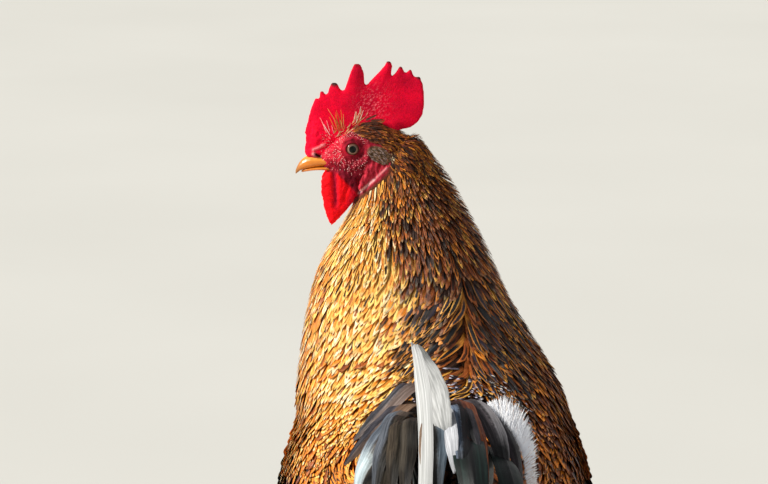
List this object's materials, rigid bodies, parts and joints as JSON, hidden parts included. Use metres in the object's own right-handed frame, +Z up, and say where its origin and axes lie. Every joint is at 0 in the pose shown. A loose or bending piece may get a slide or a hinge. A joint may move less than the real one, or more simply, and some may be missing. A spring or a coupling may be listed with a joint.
{
  "type": "rooster model",
  "caption": "Life-size standing rooster with its head turned a quarter to its left, golden speckled hackle, red single comb and wattles, and a dark arched tail.",
  "frame": {"origin": "middle of the bounding box at floor level, between the feet's soles and the tail", "axes": "+Z up; the bird heads towards -Y, so its left side is +X; its head faces +X"},
  "size_m": [0.2482, 0.553, 0.6],
  "materials": {
    "hackle": "overlapping golden feathers with dark flecks and pale tips",
    "body": "overlapping gold and mahogany feathers, darker below",
    "wing": "mahogany coverts over black and buff flight feathers",
    "tail": "glossy black feathers with a blue-green sheen and some white",
    "face": "bare red skin with small pale papillae",
    "comb": "soft crimson skin, finely granular",
    "bill": "smooth yellow horn, darker at the tip",
    "eye": "wet and clear over a pale iris and dark pupil",
    "leg": "yellow scutes and fine scales",
    "claw": "worn horn"
  },
  "bodies": {
    "root": {"neck_upper": "hackle", "neck_lower": "hackle", "trunk": "body", "head": "face", "comb": "comb", "bill_upper": "bill", "bill_lower": "bill", "eye_left": "eye", "wattle_left": "comb", "earlobe_left": "comb", "wing_left": "wing", "thigh_left": "body", "shank_left": "leg", "spur_left": "claw", "toe_inner_left": "leg", "toe_middle_left": "leg", "toe_outer_left": "leg", "toe_back_left": "leg", "claw_inner_left": "claw", "claw_middle_left": "claw", "claw_outer_left": "claw", "claw_back_left": "claw", "tail_fan_left": "tail", "sickle_main_left": "tail", "sickle_second_left": "tail", "eye_right": "eye", "wattle_right": "comb", "earlobe_right": "comb", "wing_right": "wing", "thigh_right": "body", "shank_right": "leg", "spur_right": "claw", "toe_inner_right": "leg", "toe_middle_right": "leg", "toe_outer_right": "leg", "toe_back_right": "leg", "claw_inner_right": "claw", "claw_middle_right": "claw", "claw_outer_right": "claw", "claw_back_right": "claw", "tail_fan_right": "tail", "sickle_main_right": "tail", "sickle_second_right": "tail"}
  },
  "joints": []
}
